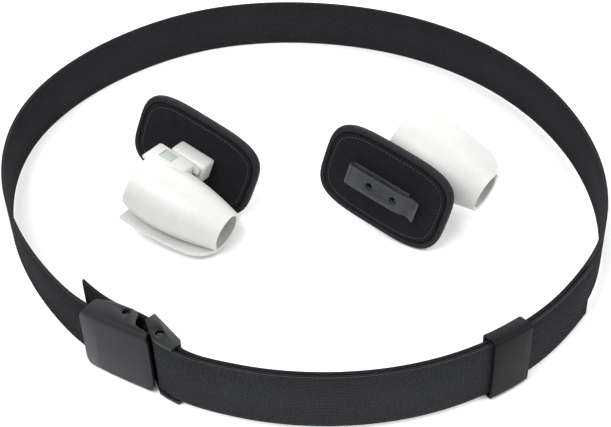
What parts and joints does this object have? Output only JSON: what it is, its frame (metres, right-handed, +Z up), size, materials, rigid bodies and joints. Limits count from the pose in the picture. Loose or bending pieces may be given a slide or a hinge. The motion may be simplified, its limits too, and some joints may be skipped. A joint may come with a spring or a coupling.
{
  "type": "pole holder belt",
  "caption": "Webbing waist belt with a hook buckle and keeper, and clip-on padded holders with open sleeves for poles.",
  "frame": {"origin": "on the floor under the middle of the whole object's box", "axes": "+Z up; +Y away from the buckle, towards the back of the belt; +X to the right seen from the buckle's side"},
  "size_m": [0.4004, 0.4396, 0.0744],
  "materials": {
    "webbing": "ribbed woven webbing, matt",
    "moulding": "smooth satin black moulding",
    "buckle": "satin dark grey plating",
    "clamp": "satin green-black plating",
    "steel": "dark steel",
    "pad_cloth": "matt black cloth over foam",
    "edging": "black rolled binding",
    "shell": "satin white moulding",
    "button": "satin light grey moulding",
    "spring_steel": "satin blue-grey coated spring steel"
  },
  "bodies": {
    "belt": {"strap_main": "webbing", "strap_tail": "webbing", "cover_pin": "steel", "clamp_frame": "clamp", "clamp_pin": "steel", "hook_bar": "steel"},
    "buckle_cover": {"buckle_cover": "buckle"},
    "keeper": {"keeper_loop": "moulding"},
    "left_holder": {"left_pad_front": "pad_cloth", "left_stiffener": "moulding", "left_pad_back": "pad_cloth", "left_pad_edging": "edging", "left_stem_block": "shell", "left_clip_base": "spring_steel", "left_screw_1": "steel", "left_screw_2": "steel"},
    "left_clip": {"left_clip_leaf": "spring_steel"},
    "left_sleeve": {"left_sleeve": "shell"},
    "left_button": {"left_latch_button": "button"},
    "right_holder": {"right_pad_front": "pad_cloth", "right_stiffener": "moulding", "right_pad_back": "pad_cloth", "right_pad_edging": "edging", "right_stem_block": "shell", "right_clip_base": "spring_steel", "right_screw_1": "steel", "right_screw_2": "steel"},
    "right_clip": {"right_clip_leaf": "spring_steel"},
    "right_sleeve": {"right_sleeve": "shell"},
    "right_button": {"right_latch_button": "button"}
  },
  "joints": [
    {"name": "cover_tilt", "type": "hinge", "parent": "belt", "child": "buckle_cover", "pos_m": [-0.09711, -0.16431, 0.0219], "axis": [0, -0.0075, -1], "range_deg": [0, 9]},
    {"name": "keeper_travel", "type": "hinge", "parent": "belt", "child": "keeper", "pos_m": [0.01929, -0.04368, 0.02099], "axis": [0, 0.0075, 1], "range_deg": [-6.57, 6.57]},
    {"name": "left_holder_lift", "type": "slide", "parent": "belt", "child": "left_holder", "axis": [0, 0, 1], "range_m": [0, 0.12]},
    {"name": "left_clip_flex", "type": "hinge", "parent": "left_holder", "child": "left_clip", "pos_m": [-0.08, 0.01795, 0.04269], "axis": [0.348, -0.0251, 0.9372], "range_deg": [0, 8], "stiffness_Nm_per_rad": 1, "springref_deg": -1.15},
    {"name": "left_sleeve_slide", "type": "slide", "parent": "left_holder", "child": "left_sleeve", "axis": [-0.8085, 0.498, 0.3136], "range_m": [0, 0.03]},
    {"name": "left_button_press", "type": "slide", "parent": "left_sleeve", "child": "left_button", "axis": [-0.348, 0.0251, -0.9372], "range_m": [0, 0.0012], "stiffness_N_per_m": 400, "springref_m": -0.0005},
    {"name": "right_holder_lift", "type": "slide", "parent": "belt", "child": "right_holder", "axis": [0, 0, 1], "range_m": [0, 0.12]},
    {"name": "right_clip_flex", "type": "hinge", "parent": "right_holder", "child": "right_clip", "pos_m": [0.03517, -0.0384, 0.04178], "axis": [-0.2895, -0.0121, -0.9571], "range_deg": [0, 8], "stiffness_Nm_per_rad": 1, "springref_deg": -1.15},
    {"name": "right_sleeve_slide", "type": "slide", "parent": "right_holder", "child": "right_sleeve", "axis": [-0.7782, 0.5851, 0.228], "range_m": [0, 0.03]},
    {"name": "right_button_press", "type": "slide", "parent": "right_sleeve", "child": "right_button", "axis": [0.2895, 0.0121, 0.9571], "range_m": [0, 0.0012], "stiffness_N_per_m": 400, "springref_m": -0.0005}
  ]
}
